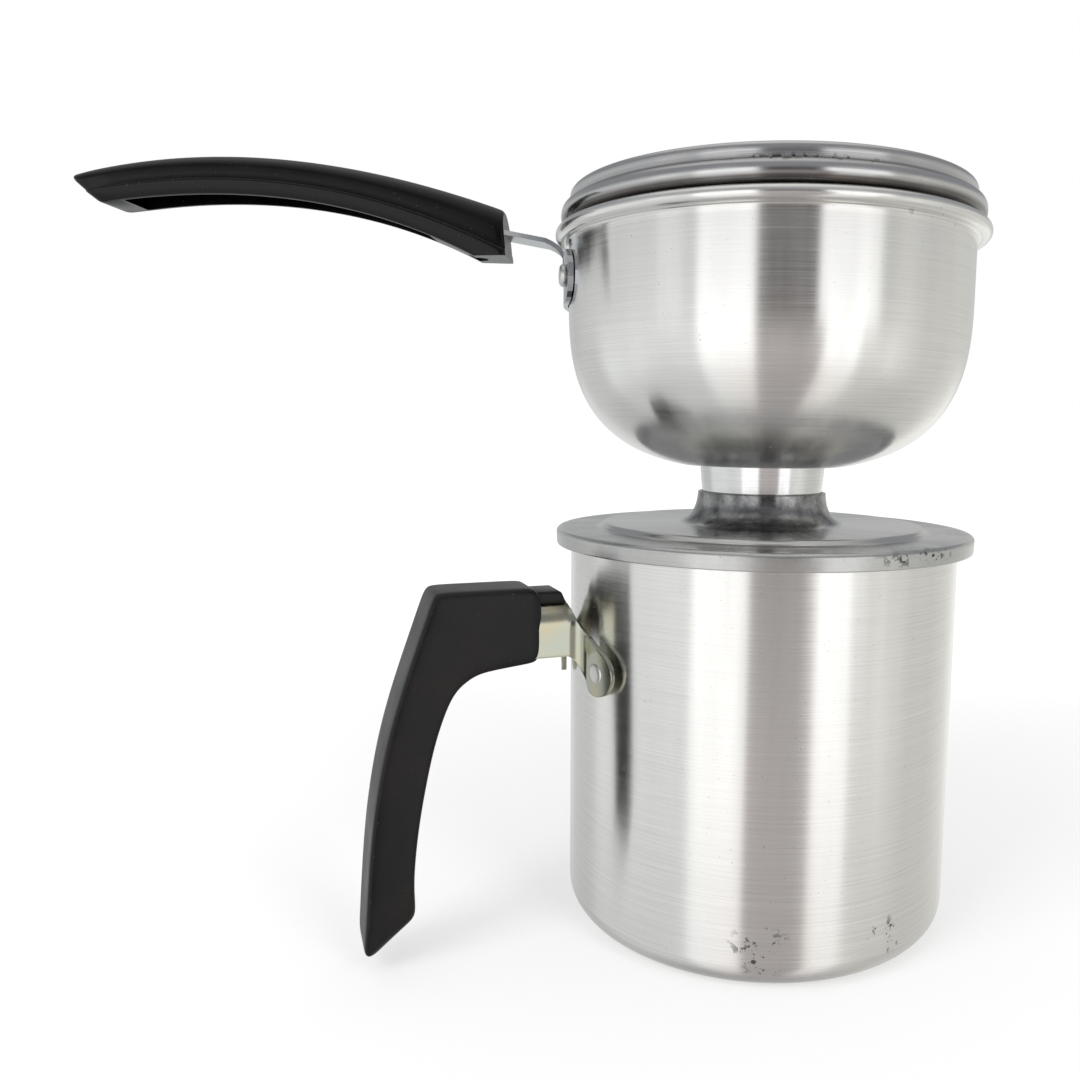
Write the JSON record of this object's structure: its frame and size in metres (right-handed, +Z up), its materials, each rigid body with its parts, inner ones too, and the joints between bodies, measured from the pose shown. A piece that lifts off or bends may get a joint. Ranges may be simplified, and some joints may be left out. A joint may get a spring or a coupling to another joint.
{
  "type": "couscous steamer",
  "caption": "Stacked aluminium couscous steamer: a cylindrical pot with a drooping grip, a chimney cover, a round long-handled bowl whose neck plugs into it, a perforated grid and a lid.",
  "frame": {"origin": "centre of the pot's flat base, on the pot's axis", "axes": "+Z up along the axis of the pot, cover, bowl and lid; the pot's side grip points along -X"},
  "size_m": [0.2853, 0.1725, 0.254],
  "materials": {
    "aluminium": "fine circumferential brushing",
    "polished_aluminium": "polished",
    "plated_steel": "zinc plated",
    "bakelite": "semi-gloss moulded"
  },
  "bodies": {
    "pot": {"pot_shell": "aluminium", "pot_handle_bracket": "plated_steel", "pot_rivet_front": "aluminium", "pot_rivet_rear": "aluminium", "pot_handle_grip": "bakelite", "pot_handle_screw": "plated_steel"},
    "cover": {"cover_plate": "aluminium"},
    "bowl": {"bowl_shell": "aluminium", "bowl_neck": "polished_aluminium", "bowl_handle_strap": "plated_steel", "bowl_rivet_front": "aluminium", "bowl_rivet_rear": "aluminium", "bowl_handle_grip": "bakelite", "bowl_handle_screw": "plated_steel"},
    "grid": {"steam_grid": "aluminium"},
    "lid": {"lid_shell": "aluminium", "lid_knob": "bakelite", "lid_knob_screw": "plated_steel", "lid_knob_washer": "plated_steel"}
  },
  "joints": [
    {"name": "cover_lift", "type": "slide", "parent": "pot", "child": "cover", "axis": [0, 0, 1], "range_m": [0, 0.08]},
    {"name": "bowl_lift", "type": "slide", "parent": "cover", "child": "bowl", "axis": [0, 0, 1], "range_m": [0, 0.06]},
    {"name": "grid_lift", "type": "slide", "parent": "bowl", "child": "grid", "axis": [0, 0, 1], "range_m": [0, 0.05]},
    {"name": "lid_lift", "type": "slide", "parent": "bowl", "child": "lid", "axis": [0, 0, 1], "range_m": [0, 0.06]}
  ]
}
